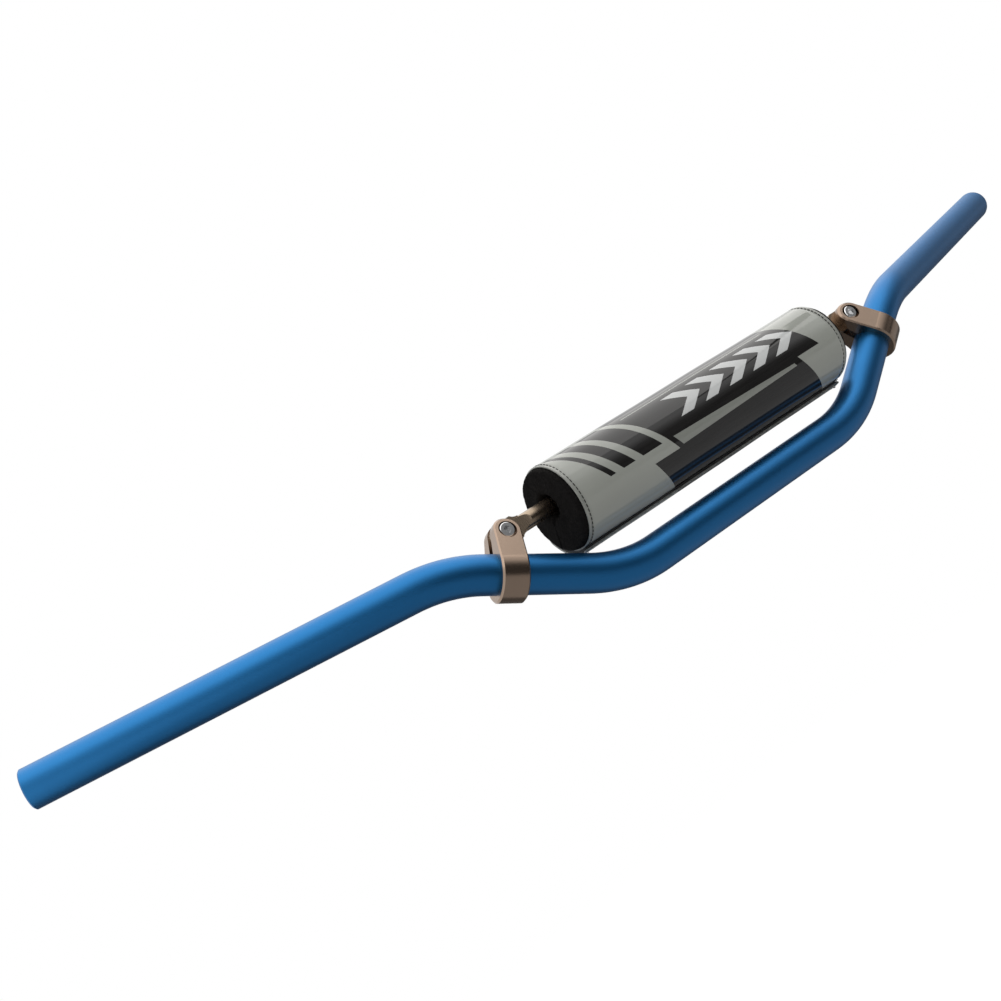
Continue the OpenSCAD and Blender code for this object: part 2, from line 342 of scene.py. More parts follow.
def printed_cover():
    material, kit = finish_named("printed_cover", Roughness=0.5, Specular_IOR_Level=0.0, Coat_Weight=1.0,
                                 Coat_Roughness=0.045)
    along, turn = kit.uv()
    colour = kit.blend(kit.speckle(24, 4), GROUND_SAGE, GROUND_WORN)
    black = leaning(along, turn, *PANEL).most(leaning(along, turn, *BAND))
    black = black.most((along - turn * LEAN).between(RULE[0] - 0.006, RULE[1] + 0.004) * turn.between(-0.081, -0.033))
    for left, right in STRIPES:
        black = black.most(leaning(along, turn, left, right, STRIPE_LOW, STRIPE_HIGH))
    colour = kit.blend(black, colour, PANEL_BLACK)
    thick = (along - RULE[0]) * 0.14 + 0.007
    rule = (thick - (turn - RULE[2]).size()).over(0) * (along - turn * LEAN).between(RULE[0], RULE[1])
    keyline = (KEYLINE_HALF - (turn - KEYLINE_AT).size()).over(0) * (along - turn * LEAN).between(-0.082, 0.038)
    colour = kit.blend(rule.most(keyline), colour, RULE_GREY)
    colour = kit.blend(chevron_row(along, turn), colour, CHEVRON_WHITE)
    scuff = kit.speckle(700, 4, stretch=(0.06, 1, 1))
    kit.feed(kit.shader.inputs["Base Color"], kit.blend(scuff * 0.04, colour, (0.5, 0.5, 0.5)))
    ripple = kit.speckle(1, 2, stretch=(26, 90, 90))
    kit.feed(kit.shader.inputs["Normal"], kit.raised(ripple, 0.0011, 0.35))
    return material


def edge_binding():
    """Pale vinyl that shows at the cut edges of the cover."""
    material, kit = finish_named("edge_binding", Roughness=0.38, Coat_Weight=0.5, Coat_Roughness=0.15)
    kit.feed(kit.shader.inputs["Base Color"], kit.blend(kit.speckle(160, 4), (0.40, 0.41, 0.375), (0.29, 0.30, 0.275)))
    kit.feed(kit.shader.inputs["Normal"], kit.raised(kit.speckle(500, 3), 0.0002, 0.4))
    return material


def thread(name, colour):
    """Twisted thread: fine slanted ribs across a matt colour."""
    material, kit = finish_named(name, Roughness=0.75, Sheen_Weight=0.3)
    rib = kit.speckle(1, 1, stretch=(2600, 2600, 2600))
    kit.feed(kit.shader.inputs["Base Color"], kit.blend(rib, colour, tuple(c * 1.9 for c in colour)))
    kit.feed(kit.shader.inputs["Normal"], kit.raised(rib, 0.0001, 0.6))
    return material


BLUE = anodised_blue()
BROWN = anodised_brown("clamp_anodised_brown", CLAMP_BROWN, 0.17, (2400, 120, 120))
ROD_BROWN = anodised_brown("crossbar_anodised_brown", CROSSBAR_BROWN, 0.20, (1800, 160, 160))
PLATING = screw_plating()
FOAM = cut_foam()
PRINT = printed_cover()
BINDING = edge_binding()
DARK_THREAD = thread("dark_thread", (0.012, 0.011, 0.011))
TAPE = thread("hook_and_loop_tape", (0.014, 0.013, 0.013))
print("finishes:", len(bpy.data.materials))

# %% [markdown]
# The crossbar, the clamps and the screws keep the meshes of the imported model, because their form is
# already right. They only take their finish.

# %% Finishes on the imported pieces
def dress(node, material):
    nodes[node].data.materials.clear()
    nodes[node].data.materials.append(material)


dress("crossbar", ROD_BROWN)
for side in ("left", "right"):
    dress(f"{side}_crossbar_clamp", BROWN)
    dress(f"{side}_clamp_screw", PLATING)

# %% [markdown]
# Every soft or round piece here is a row of rings joined up: the tube, the foam, the cover, the
# strips. One helper makes a mesh from such rows, with the UV map that its finish reads. Each row is
# a list of corners, and each corner is a place and its two UV numbers. Where a row closes on
# itself, its last corner repeats the first one's place with its own UV numbers, and the helper
# welds the two.

# %% From rows of corners to a mesh
WELD_AT = 1e-7


def skin(name, rows, materials, material_of=None, close_rows=False, sharp=35):
    """Joins neighbouring rows by quads. material_of gives a quad's material from its row number."""
    wide = len(rows[0])
    places = [corner[0] for row in rows for corner in row]
    maps = [corner[1] for row in rows for corner in row]
    count = len(rows)
    faces = []
    picks = []
    for r in range(count if close_rows else count - 1):
        below, above = r * wide, ((r + 1) % count) * wide
        for c in range(wide - 1):
            faces.append((below + c, below + c + 1, above + c + 1, above + c))
            picks.append(material_of(r) if material_of else 0)
    mesh = bpy.data.meshes.new(name)
    mesh.from_pydata([tuple(p) for p in places], [], faces)
    layer = mesh.uv_layers.new(name="along_and_round")
    for loop in mesh.loops:
        layer.data[loop.index].uv = maps[loop.vertex_index]
    for polygon, pick in zip(mesh.polygons, picks):
        polygon.material_index = pick
    work = bmesh.new()
    work.from_mesh(mesh)
    bmesh.ops.remove_doubles(work, verts=work.verts, dist=WELD_AT)
    bmesh.ops.recalc_face_normals(work, faces=work.faces)
    work.to_mesh(mesh)
    work.free()
    mesh.polygons.foreach_set("use_smooth", [True] * len(mesh.polygons))
    mesh.set_sharp_from_angle(angle=math.radians(sharp))
    for material in materials:
        mesh.materials.append(material)
    piece = bpy.data.objects.new(name, mesh)
    bpy.context.scene.collection.objects.link(piece)
    print(name, "has", len(mesh.polygons), "faces")
    return piece


def seat(piece, slot, *replaced):
    """Fastens a finished piece to the one body and hides what it stands for. The slot is not used."""
    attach(piece, "root")
    if replaced:
        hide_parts(*replaced)


# %% [markdown]
# The tube is bent from one length: a straight across the middle, a bend and a riser on each side,
# and a second bend into each hand grip's straight. A moving frame walks along it, as the tube
# walked through the bender: its Z axis points along the tube, and a bend turns it about a point to
# one side. Each stop of the walk gives one ring. The walk goes out along the outer wall, turns in
# over the chamfers of the open end and comes back along the bore, so that the wall is closed.

# %% Walk along the bar
BAR_R = 11.1 * MM
BORE_R = 7.0 * MM
CHAMFER = 0.8 * MM
BAR_HALF = 0.406
CENTRE_CORNER = 0.0977
RISER = Vector((0.0902, 0, 0.0534))
SWEEP = 0.0754
END_RISE = 0.0359
LOWER_R = 0.085
UPPER_R = 0.082
RING_SIDES = 96
BEND_STEP = math.radians(1.5)

lower_corner = Vector((CENTRE_CORNER, 0, 0))
upper_corner = lower_corner + RISER
bar_end = Vector((BAR_HALF, -SWEEP, upper_corner.z + END_RISE))
riser_way = RISER.normalized()
end_way = (bar_end - upper_corner).normalized()
lower_turn = riser_way.angle(Vector((1, 0, 0)))
upper_turn = riser_way.angle(end_way)
off_riser = Vector((-riser_way.z, 0, riser_way.x))
upper_heading = math.atan2(-end_way.y, end_way.dot(off_riser))
centre_half = CENTRE_CORNER - LOWER_R * math.tan(lower_turn / 2)
riser_length = RISER.length - LOWER_R * math.tan(lower_turn / 2) - UPPER_R * math.tan(upper_turn / 2)
end_length = (bar_end - upper_corner).length - UPPER_R * math.tan(upper_turn / 2)


def walk_right_half():
    """Frames from the middle of the bar to its right end, each with its distance from the middle."""
    at = Matrix(((0, 0, 1, 0), (0, -1, 0, 0), (1, 0, 0, 0), (0, 0, 0, 1)))
    stops = [(at.copy(), 0.0)]
    gone = 0.0

    def straight(length):
        nonlocal at, gone
        at = at @ Matrix.Translation((0, 0, length))
        gone += length
        stops.append((at.copy(), gone))

    def bend(radius, turn, heading):
        nonlocal at, gone
        steps = math.ceil(turn / BEND_STEP)
        into = Matrix.Rotation(heading, 4, "Z")
        start = at @ into
        for i in range(1, steps + 1):
            swing = (Matrix.Translation((radius, 0, 0)) @ Matrix.Rotation(turn * i / steps, 4, "Y")
                     @ Matrix.Translation((-radius, 0, 0)))
            at = start @ swing @ into.inverted()
            gone += radius * turn / steps
            stops.append((at.copy(), gone))

    straight(centre_half)
    bend(LOWER_R, lower_turn, 0)
    straight(riser_length)
    bend(UPPER_R, upper_turn, upper_heading)
    straight(end_length - CHAMFER)
    straight(CHAMFER)
    return stops


right_stops = walk_right_half()
flip = Matrix.Diagonal((-1, 1, 1, 1))
bar_stops = [(flip @ m, -s) for m, s in reversed(right_stops[1:])] + right_stops


def bar_ring(stop, radius):
    """One ring of corners about a stop. The turn runs from 0, facing forward, up over the top."""
    frame_at, gone = stop
    ring = []
    for i in range(RING_SIDES + 1):
        turn = i / RING_SIDES
        angle = 2 * math.pi * (turn if turn < 1 else 0)
        out = Vector((math.sin(angle) * radius, -math.cos(angle) * radius, 0))
        ring.append((frame_at @ out, (gone, turn)))
    return ring


outer = [bar_ring(stop, BAR_R) for stop in bar_stops[1:-1]]
right_lip = [bar_ring(bar_stops[-1], BAR_R - CHAMFER), bar_ring(bar_stops[-1], BORE_R + CHAMFER)]
inner = [bar_ring(stop, BORE_R) for stop in reversed(bar_stops[1:-1])]
left_lip = [bar_ring(bar_stops[0], BORE_R + CHAMFER), bar_ring(bar_stops[0], BAR_R - CHAMFER)]
tube = skin("bar_tube", outer + right_lip + inner + left_lip, [BLUE], close_rows=True)
seat(tube, "bar_anodised", "main_bar")

# %% [markdown]
# The pad is a foam cylinder with the crossbar through it, a little above its middle. The foam's
# corners are easiest to give as shares of the way from the hole to the outside, at each angle about
# the hole. At the slit, which lets the foam over the crossbar, the ring is left open, so the walls
# of the slit are faces of their own. The ends were cut by hand: their faces wander by a fraction of
# a millimetre, and the mouth of the hole is torn.

# %% Foam
PAD_Y = 1.5 * MM
CROSSBAR_Z = (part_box("crossbar")[0].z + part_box("crossbar")[1].z) / 2
PAD_Z = CROSSBAR_Z - 3.7 * MM
COVER_R = 26.3 * MM
COVER_T = 1.2 * MM
LAYER_GAP = 0.05 * MM
FOAM_R = COVER_R - COVER_T - LAYER_GAP
FOAM_HALF = PAD_LENGTH / 2 + 3 * MM
HOLE_R = 5.3 * MM
STRIP_T = 1.1 * MM
PRESS_OVER, PRESSED = 14.0, 0.45
CLOSURE_W = 26 * MM
FLAP_EDGE = -95.0
FLAP_FOOT = FLAP_EDGE - math.degrees(CLOSURE_W / COVER_R)
CLIMB = 20.0
CLIMB_FROM = FLAP_FOOT + 360 - 5 - CLIMB
SLIT_AT = (FLAP_EDGE + FLAP_FOOT) / 2
SLIT_HALF_TURN = 1.1


def way(degrees):
    """A unit direction across the pad: 0 faces forward and 90 faces up."""
    a = math.radians(degrees)
    return Vector((0, math.cos(a), math.sin(a)))


def pad_point(x, radius, degrees):
    return Vector((x, PAD_Y, PAD_Z)) + way(degrees) * radius


def eased(share):
    s = min(max(share, 0.0), 1.0)
    return s * s * (3 - 2 * s)


def strip_thickness(degrees):
    """The two strips are pressed thin where the flap's free edge was pushed down by hand."""
    return STRIP_T * (1 - (1 - PRESSED) * eased((degrees - FLAP_EDGE + PRESS_OVER) / PRESS_OVER))


def foam_outside(degrees):
    """How far the foam reaches from the crossbar's axis in this direction."""
    to_hole = Vector((0, -PAD_Y, CROSSBAR_Z - PAD_Z))
    along = way(degrees).dot(to_hole)
    return -along + math.sqrt(along * along + FOAM_R * FOAM_R - to_hole.length_squared)


def foam_profile():
    """Corners of one end from the outer wall to the hole: (share of the way out, depth from the end)."""
    rounding = [(1.0, 2.6), (1.0, 1.6), (0.992, 0.9), (0.976, 0.45), (0.952, 0.15)]
    face = [(0.92 - 0.052 * i, 0.0) for i in range(14)]
    mouth = [(0.20, 0.2), (0.16, 0.7), (0.12, 1.6), (0.085, 3.0), (0.05, 5.0), (0.015, 7.5), (0.0, 9.0)]
    return rounding + face + mouth


def roughness_at(place, share):
    """How far the cut wanders along X here, in millimetres."""
    broad = noise.noise(place * 130) * 0.35
    fine = noise.noise(place * 620) * 0.22
    torn = noise.noise(place * 330 + Vector((7, 0, 0))) * 1.5 * max(0.0, 0.34 - share) / 0.34
    return broad + fine + torn


def foam_row(side, share, depth, turns):
    row = []
    for degrees in turns:
        out = foam_outside(degrees)
        reach = HOLE_R + (out - HOLE_R) * share
        here = Vector((side * (FOAM_HALF - depth * MM), 0, CROSSBAR_Z)) + way(degrees) * reach
        if 0.0 < share < 1.0:
            wander = roughness_at(here, share) * MM
            here.x += side * min(wander, 0.6 * MM)
            ragged = noise.noise(here * 480) * 0.5 * MM * (1 if share < 0.2 else 0.15)
            here += way(degrees) * max(ragged, HOLE_R - reach)
        row.append((here, (share, degrees / 360)))
    return row


def make_foam():
    sides = 220
    first, last = SLIT_AT + SLIT_HALF_TURN, SLIT_AT + 360 - SLIT_HALF_TURN
    turns = [first + (last - first) * i / sides for i in range(sides + 1)]
    profile = foam_profile()
    right = [foam_row(1, share, depth, turns) for share, depth in profile]
    left = [foam_row(-1, share, depth, turns) for share, depth in reversed(profile)]
    rows = right + left
    foam = skin("pad_foam_block", rows, [FOAM], close_rows=True, sharp=60)
    work = bmesh.new()
    work.from_mesh(foam.data)
    rims = [e for e in work.edges if e.is_boundary]
    bmesh.ops.holes_fill(work, edges=rims, sides=0)
    bmesh.ops.recalc_face_normals(work, faces=work.faces)
    work.to_mesh(foam.data)
    work.free()
    return foam


foam = make_foam()
seat(foam, "pad_foam", "pad_foam")

# %% [markdown]
# The cover is one sheet wrapped round the foam. Its first edge lies on the foam, it goes once round,
# and then it climbs over the two strips of the closure and lies on top of them as a flap. So its
# distance from the pad's axis is a constant, then an eased step, then a constant again. Near each
# end it is pulled in under a row of stitches, and its surface is never quite flat: a slow noise
# pushes it in and out by a few tenths of a millimetre, which is what bends the long highlights.

# %% Cover
SEAM_IN = 2.3 * MM
SEAM_DEPTH = 0.35 * MM
SEAM_WIDTH = 0.9 * MM
LIP_ROUND = 0.5 * MM
FLAP_R = COVER_R + 2 * STRIP_T + 3 * LAYER_GAP


def cover_inside(degrees):
    climbed = eased((degrees - CLIMB_FROM) / CLIMB)
    base = FOAM_R + LAYER_GAP
    pressed = 2 * (STRIP_T - strip_thickness(degrees - 360))
    return base + climbed * (FLAP_R - base) - pressed


def cover_push(x, degrees):
    """How far the outer face stands off its plain round form."""
    from_end = PAD_LENGTH / 2 - abs(x)
    seam = math.exp(-(((from_end - SEAM_IN) / SEAM_WIDTH) ** 2)) * SEAM_DEPTH
    spot = Vector((x * 16, math.cos(math.radians(degrees)) * 1.1, math.sin(math.radians(degrees)) * 1.1))
    slow = noise.noise(spot) * 0.35 * MM
    pucker = noise.noise(Vector((x * 10, degrees * 0.16, 3))) * 0.16 * MM * math.exp(-from_end / (6 * MM))
    return slow + pucker - seam


def cover_columns():
    """Places along the pad: close together at the ends, where the seams are."""
    ends = [0, 0.15, 0.5, 0.9, 1.2, 1.5, 1.8, 2.1, 2.3, 2.5, 2.8, 3.2, 3.8, 4.6, 6.2, 9.5]
    half = PAD_LENGTH / 2
    near = [-half + e * MM for e in ends]
    middle = [-half + 0.012 + (PAD_LENGTH - 0.024) * i / 60 for i in range(61)]
    return near + middle + [-x for x in reversed(near)]


def make_cover():
    half = PAD_LENGTH / 2
    columns = cover_columns()
    sides = 200
    first, last = FLAP_FOOT, FLAP_EDGE + 360
    turns = [first + (last - first) * i / sides for i in range(sides + 1)]
    rows = []
    for degrees in turns:
        inside, outside = [], []
        for x in columns:
            lip = max(0.0, 1 - (half - abs(x)) / LIP_ROUND)
            drop = (1 - math.sqrt(max(0.0, 1 - lip * lip))) * COVER_T * 0.35
            push = cover_push(x, degrees)
            top = cover_inside(degrees) + COVER_T + push - drop
            bottom = cover_inside(degrees) + max(push, 0) * 0.5 + drop
            turn = (degrees + 180) % 360 - 180 if degrees < 180 else degrees - 360
            outside.append((pad_point(x, top, degrees), (x, turn / 360)))
            inside.append((pad_point(x, bottom, degrees), (x, turn / 360)))
        loop = outside + list(reversed(inside)) + [outside[0]]
        rows.append(loop)
    sheet = skin("pad_cover_sheet", rows, [PRINT, BINDING], sharp=50)
    edge = half - 1.5 * MM
    for polygon in sheet.data.polygons:
        centre = polygon.center
        facing_out = polygon.normal.dot(Vector((0, centre.y - PAD_Y, centre.z - PAD_Z)).normalized()) > 0.3
        if abs(centre.x) > edge or not facing_out:
            polygon.material_index = 1
    work = bmesh.new()
    work.from_mesh(sheet.data)
    bmesh.ops.holes_fill(work, edges=[e for e in work.edges if e.is_boundary], sides=0)
    bmesh.ops.recalc_face_normals(work, faces=work.faces)
    work.to_mesh(sheet.data)
    work.free()
    return sheet


cover = make_cover()
seat(cover, "pad_cover", "pad_cover")

# %% [markdown]
# Under the flap lie the two halves of the closure: a loop strip on the cover and a hook strip on the
# flap. Each is a curved band with a soft edge.

# %% Hook strip and loop strip
def make_strip(name, layer, first, last):
    """One strip of the closure. The loop strip is layer 0, and the hook strip lies on it as layer 1."""
    half = PAD_LENGTH / 2 - 0.4 * MM
    columns = [-half + 2 * half * i / 110 for i in range(111)]
    sides = 24
    rows = []
    for i in range(sides + 1):
        degrees = first + (last - first) * i / sides
        thick = strip_thickness(degrees)
        radius = COVER_R + LAYER_GAP + layer * (thick + LAYER_GAP)
        outside, inside = [], []
        for x in columns:
            fray = noise.noise(Vector((x * 900, degrees, layer * 24.0))) * 0.10 * MM
            edge = noise.noise(Vector((x * 700, i * 9.0, 5))) * 1.2 if i in (0, sides) else 0
            outside.append((pad_point(x, radius + thick - 0.12 * MM + fray, degrees + edge), (x, i / sides)))
            inside.append((pad_point(x, radius + 0.05 * MM, degrees + edge), (x, i / sides)))
        rows.append(outside + list(reversed(inside)) + [outside[0]])
    strip = skin(name, rows, [TAPE], sharp=60)
    work = bmesh.new()
    work.from_mesh(strip.data)
    bmesh.ops.holes_fill(work, edges=[e for e in work.edges if e.is_boundary], sides=0)
    bmesh.ops.recalc_face_normals(work, faces=work.faces)
    work.to_mesh(strip.data)
    work.free()
    return strip


loop_band = make_strip("loop_band", 0, FLAP_FOOT, FLAP_EDGE + 2.6)
seat(loop_band, "loop_tape", "loop_strip")
hook_band = make_strip("hook_band", 1, FLAP_FOOT + 1, FLAP_EDGE)
seat(hook_band, "hook_tape", "hook_strip")

# %% [markdown]
# Two things repeat here by the hundred: the stitches at both ends of the cover, and the fibres that
# stand out of the loop strip along the flap's edge. Both are Geometry Nodes trees built by the
# script. A tree takes its sizes as named inputs, ends in Realize Instances and Set Material, and
# its result is baked to a plain mesh, because instances don't survive an export.

# %% Geometry Nodes helpers
class GeometryKit(Kit):
    """A Kit whose tree makes geometry, with named inputs that a modifier can set."""

    def __init__(self, name):
        super().__init__(bpy.data.node_groups.new(name, "GeometryNodeTree"))
        self.tree.interface.new_socket("Geometry", in_out="INPUT", socket_type="NodeSocketGeometry")
        self.tree.interface.new_socket("Geometry", in_out="OUTPUT", socket_type="NodeSocketGeometry")
        self.entry = self.tree.nodes.new("NodeGroupInput")

    def named(self, name, kind, value):
        socket = self.tree.interface.new_socket(name, in_out="INPUT", socket_type=kind)
        socket.default_value = value
        return Wire(self, self.entry.outputs[name])

    def given(self):
        return Wire(self, self.entry.outputs["Geometry"])

    def end(self, geometry, material):
        real = self.out("GeometryNodeRealizeInstances", None, {"Geometry": geometry})
        dressed = self.out("GeometryNodeSetMaterial", None, {"Geometry": real})
        dressed.socket.node.inputs["Material"].default_value = material
        close = self.tree.nodes.new("NodeGroupOutput")
        self.tree.links.new(dressed.socket, close.inputs["Geometry"])
        return self.tree


def grown(name, tree, base, material, **sizes):
    """Runs a tree on a base mesh with these inputs, and returns the result as a plain mesh object."""
    holder = bpy.data.objects.new(name, base)
    bpy.context.scene.collection.objects.link(holder)
    modifier = holder.modifiers.new("grow", "NODES")
    modifier.node_group = tree
    sockets = {item.name: item.identifier for item in tree.interface.items_tree if item.in_out == "INPUT"}
    for key, value in sizes.items():
        modifier[sockets[key.replace("_", " ")]] = value
    bpy.context.view_layer.update()
    seen = holder.evaluated_get(bpy.context.evaluated_depsgraph_get())
    mesh = bpy.data.meshes.new_from_object(seen)
    holder.modifiers.remove(modifier)
    holder.data = mesh
    mesh.materials.clear()
    mesh.materials.append(material)
    print(name, "has", len(mesh.polygons), "faces")
    return holder


def bead(length, thick, sag, rings=6, sides=6):
    """A short length of thread along Z that dips at both ends, as a stitch does."""
    work = bmesh.new()
    loops = []
    for i in range(rings + 1):
        share = i / rings
        z = (share - 0.5) * length
        fat = thick * math.sqrt(max(0.02, 1 - (2 * share - 1) ** 4))
        lift = sag * (1 - (2 * share - 1) ** 2)
        loops.append([work.verts.new((fat * math.cos(2 * math.pi * k / sides),
                                      lift + fat * math.sin(2 * math.pi * k / sides), z))
                      for k in range(sides)])
    for low, high in zip(loops, loops[1:]):
        for k in range(sides):
            work.faces.new((low[k], low[(k + 1) % sides], high[(k + 1) % sides], high[k]))
    work.faces.new(list(reversed(loops[0])))
    work.faces.new(loops[-1])
    mesh = bpy.data.meshes.new("bead")
    work.to_mesh(mesh)
    work.free()
    return mesh


# %% [markdown]
# A stitch row goes round the pad near each end. Each stitch is placed by its number: the number
# gives the angle, the angle gives the place, and where the cover climbs over the strips the row
# climbs with it.

# %% Stitches
STITCH_PITCH = 2.7
STITCH_LONG = 2.35 * MM
STITCH_THICK = 0.30 * MM


def stitch_tree():
    kit = GeometryKit("stitch_row")
    count = kit.named("Count", "NodeSocketInt", 100)
    first = kit.named("First angle", "NodeSocketFloat", 0.0)
    step = kit.named("Step", "NodeSocketFloat", 0.05)
    place = kit.named("Place", "NodeSocketFloat", 0.1)
    low = kit.named("Low radius", "NodeSocketFloat", 0.026)
    high = kit.named("High radius", "NodeSocketFloat", 0.029)
    climb_from = kit.named("Climb from", "NodeSocketFloat", 3.0)
    climb_to = kit.named("Climb to", "NodeSocketFloat", 3.3)
    stitch = kit.given()
    line = kit.out("GeometryNodeMeshLine", None, {"Count": count})
    number = kit.out("GeometryNodeInputIndex")
    angle = number * step + first
    radius = kit.out("ShaderNodeMapRange", {"interpolation_type": "SMOOTHSTEP"},
                     {0: angle, 1: climb_from, 2: climb_to, 3: low, 4: high})
    spot = kit.out("ShaderNodeCombineXYZ", None,
                   {0: place, 1: angle.math("COSINE") * radius + PAD_Y, 2: angle.wave() * radius + PAD_Z})
    points = kit.out("GeometryNodeSetPosition", None, {"Geometry": line, "Position": spot})
    turned = kit.out("ShaderNodeCombineXYZ", None, {0: angle})
    copies = kit.out("GeometryNodeInstanceOnPoints", None, {"Points": points, "Instance": stitch})
    stood = kit.out("GeometryNodeRotateInstances", None, {"Instances": copies, "Rotation": turned})
    return kit.end(stood, DARK_THREAD)


stitch_row = stitch_tree()
span = math.radians(FLAP_EDGE + 360 - FLAP_FOOT - 2)
stitches = int(span * COVER_R / (STITCH_PITCH * MM))
for side, name in ((1, "right_end_stitches"), (-1, "left_end_stitches")):
    row = grown(name, stitch_row, bead(STITCH_LONG, STITCH_THICK, 0.10 * MM), DARK_THREAD,
                Count=stitches, First_angle=math.radians(FLAP_FOOT + 1), Step=span / stitches,
                Place=side * (PAD_LENGTH / 2 - SEAM_IN),
                Low_radius=COVER_R - SEAM_DEPTH + 0.08 * MM,
                High_radius=FLAP_R + COVER_T - SEAM_DEPTH + 0.08 * MM,
                Climb_from=math.radians(CLIMB_FROM), Climb_to=math.radians(CLIMB_FROM + CLIMB))
    seat(row, "pad_cover")

# %% [markdown]
# The loop strip sticks out a little past the flap, and its loops have been pulled and broken there.
# A narrow ribbon along that edge is the ground. Points are scattered over it with a fixed seed, and
# a bent hair grows on each, turned and scaled at random.

# %% Fibres along the closure
def hair(length, thick, bend, rings=4):
    """A tapering three-sided hair along Y that bends towards Z."""
    work = bmesh.new()
    loops = []
    for i in range(rings + 1):
        share = i / rings
        fat = thick * (1 - 0.75 * share)
        centre = Vector((0, length * share, bend * share * share))
        loops.append([work.verts.new(centre + Vector((fat * math.cos(a), 0, fat * math.sin(a))))
                      for a in (0, 2 * math.pi / 3, 4 * math.pi / 3)])
    for low, high in zip(loops, loops[1:]):
        for k in range(3):
            work.faces.new((low[(k + 1) % 3], low[k], high[k], high[(k + 1) % 3]))
    work.faces.new(loops[0])
    work.faces.new(list(reversed(loops[-1])))
    bmesh.ops.recalc_face_normals(work, faces=work.faces)
    mesh = bpy.data.meshes.new("hair")
    work.to_mesh(mesh)
    work.free()
    return mesh


def fibre_tree(hair_object):
    kit = GeometryKit("fibre_edge")
    density = kit.named("Density", "NodeSocketFloat", 100000.0)
    seed = kit.named("Seed", "NodeSocketInt", 1)
    spread = kit.named("Spread", "NodeSocketFloat", 0.6)
    small = kit.named("Smallest", "NodeSocketFloat", 0.4)
    large = kit.named("Largest", "NodeSocketFloat", 1.0)
    scatter = kit.add("GeometryNodeDistributePointsOnFaces", None,
                      {"Mesh": kit.given(), "Density": density, "Seed": seed})
    lean = kit.out("FunctionNodeRandomValue", {"data_type": "FLOAT_VECTOR"}, {"Seed": seed})
    low_lean = kit.out("ShaderNodeCombineXYZ", None, {0: spread * -1, 1: -3.14, 2: spread * -1})
    high_lean = kit.out("ShaderNodeCombineXYZ", None, {0: spread, 1: 3.14, 2: spread})
    kit.feed(lean.socket.node.inputs[0], low_lean)
    kit.feed(lean.socket.node.inputs[1], high_lean)
    length = kit.add("FunctionNodeRandomValue", {"data_type": "FLOAT"})
    kit.feed(length.inputs[2], small)
    kit.feed(length.inputs[3], large)
    kit.feed(length.inputs["Seed"], seed + 7)
    upright = kit.out("FunctionNodeAlignEulerToVector", {"axis": "Y"},
                      {"Vector": Wire(kit, scatter.outputs["Normal"])})
    shape = kit.out("GeometryNodeObjectInfo", {"transform_space": "ORIGINAL"}, None, "Geometry")
    shape.socket.node.inputs["Object"].default_value = hair_object
    copies = kit.out("GeometryNodeInstanceOnPoints", None,
                     {"Points": Wire(kit, scatter.outputs["Points"]), "Instance": shape,
                      "Rotation": upright, "Scale": Wire(kit, length.outputs[1])})
    tossed = kit.out("GeometryNodeRotateInstances", None,
                     {"Instances": copies, "Rotation": lean, "Local Space": True})
    return kit.end(tossed, TAPE)


def ribbon(name, radius_low, radius_high, degrees_low, degrees_high, columns=60):
    """A narrow curved band that fibres grow on."""
    half = PAD_LENGTH / 2 - 1 * MM
    work = bmesh.new()
    low = [work.verts.new(pad_point(-half + 2 * half * i / columns, radius_low, degrees_low))
           for i in range(columns + 1)]
    high = [work.verts.new(pad_point(-half + 2 * half * i / columns, radius_high, degrees_high))
            for i in range(columns + 1)]
    for i in range(columns):
        work.faces.new((low[i], low[i + 1], high[i + 1], high[i]))
    bmesh.ops.recalc_face_normals(work, faces=work.faces)
    mesh = bpy.data.meshes.new(name)
    work.to_mesh(mesh)
    work.free()
    centre = mesh.polygons[0].center
    outward = way((degrees_low + degrees_high) / 2)
    if mesh.polygons[0].normal.dot(outward) < 0:
        mesh.flip_normals()
    print(name, "lies", round(centre.length / MM, 1), "mm from the middle")
    return mesh


hair_shape = bpy.data.objects.new("hair_shape", hair(1.9 * MM, 0.09 * MM, 0.9 * MM))
fibres = grown("closure_fibres", fibre_tree(hair_shape),
               ribbon("fibre_ground", COVER_R + PRESSED * STRIP_T, COVER_R + 2 * STRIP_T, FLAP_EDGE + 2.6, FLAP_EDGE + 0.3),
               TAPE, Density=1900000.0, Seed=11, Spread=0.9, Smallest=0.25, Largest=1.0)
seat(fibres, "loop_tape")
bpy.data.objects.remove(hair_shape)

# %% [markdown]
# The studio is plain. A pale floor lies well below the bar, and the world is white to the camera
# and to mirrors, so the bar seems to float in a white room as in the photograph. The light itself
# comes from one wide softbox overhead, and the rest of the room is much dimmer, which is what gives
# the tube its bright band on top and its deep one in front. The object must see that dimness too:
# without it a round metal bar has nothing dark to show, and it looks like plastic. So a tent of
# grey cards stands round the bar, which only mirrors can see. Its front wall is nearly black below
# and grows light towards the softbox, and its bottom is the grey of a table.

# %% Floor, world and softbox
MIDDLE = Vector((0.0, 0.0, 0.04))
FLOOR_Z = -0.22
ROOM_LEVEL = 0.45
SOFTBOX_Z = 1.24
SOFTBOX_WIDE, SOFTBOX_DEEP = 3.0, 2.5
SOFTBOX_LEVEL = 0.84
SOFTBOX_TINT = (1.0, 0.975, 0.945)


def white_to_the_eye(kit):
    """1 for camera, glossy and transmission rays, and 0 for the light that falls on things."""
    path = kit.add("ShaderNodeLightPath")
    camera_ray, glossy_ray, through_ray = (
        Wire(kit, path.outputs[f"Is {kind} Ray"]) for kind in ("Camera", "Glossy", "Transmission"))
    return camera_ray.most(glossy_ray).most(through_ray)


